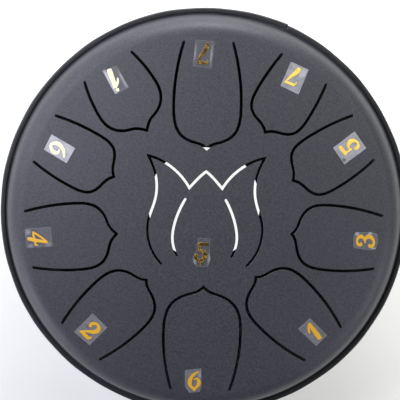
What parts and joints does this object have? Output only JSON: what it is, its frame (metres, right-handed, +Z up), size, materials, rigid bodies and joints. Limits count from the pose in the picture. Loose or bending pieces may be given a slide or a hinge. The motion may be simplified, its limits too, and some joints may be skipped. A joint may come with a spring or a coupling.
{
  "type": "steel tongue drum",
  "caption": "Round steel tongue drum: two pressed steel shells joined at a rubber-edged rim, lotus-shaped tongues cut in the top, round sound port below, on rubber feet.",
  "frame": {"origin": "on the ground plane under the drum's axis, at the undersides of the rubber feet", "axes": "+Z up along the drum's axis; +Y towards the long low-7 tongue, which is the top of the player's face view; +X to the right of it"},
  "size_m": [0.305, 0.305, 0.1421],
  "materials": {
    "powder_coat": "matte grey-black powder coat with a fine grain",
    "weld_steel": "bare weld bead, hidden under the trim",
    "trim_rubber": "black extruded edge trim, satin",
    "label_film": "clear sticky film, hand cut, with a foil numeral",
    "number_foil": "gold hot foil, satin",
    "foot_rubber": "matte moulded black rubber",
    "zinc_steel": "zinc plated"
  },
  "bodies": {
    "root": {"top_shell": "powder_coat", "bottom_shell": "powder_coat", "seam_weld": "weld_steel", "rim_trim": "trim_rubber", "number_label_low_7": "label_film", "number_label_7": "label_film", "number_label_5": "label_film", "number_label_3": "label_film", "number_label_1": "label_film", "number_label_low_6": "label_film", "number_label_2": "label_film", "number_label_4": "label_film", "number_label_6": "label_film", "number_label_high_1": "label_film", "number_label_low_5": "label_film", "foot_1": "foot_rubber", "foot_2": "foot_rubber", "foot_3": "foot_rubber", "foot_washer_1": "zinc_steel", "foot_washer_2": "zinc_steel", "foot_washer_3": "zinc_steel", "foot_screw_1": "zinc_steel", "foot_screw_2": "zinc_steel", "foot_screw_3": "zinc_steel", "foot_nut_1": "zinc_steel", "foot_nut_2": "zinc_steel", "foot_nut_3": "zinc_steel"}
  },
  "joints": []
}
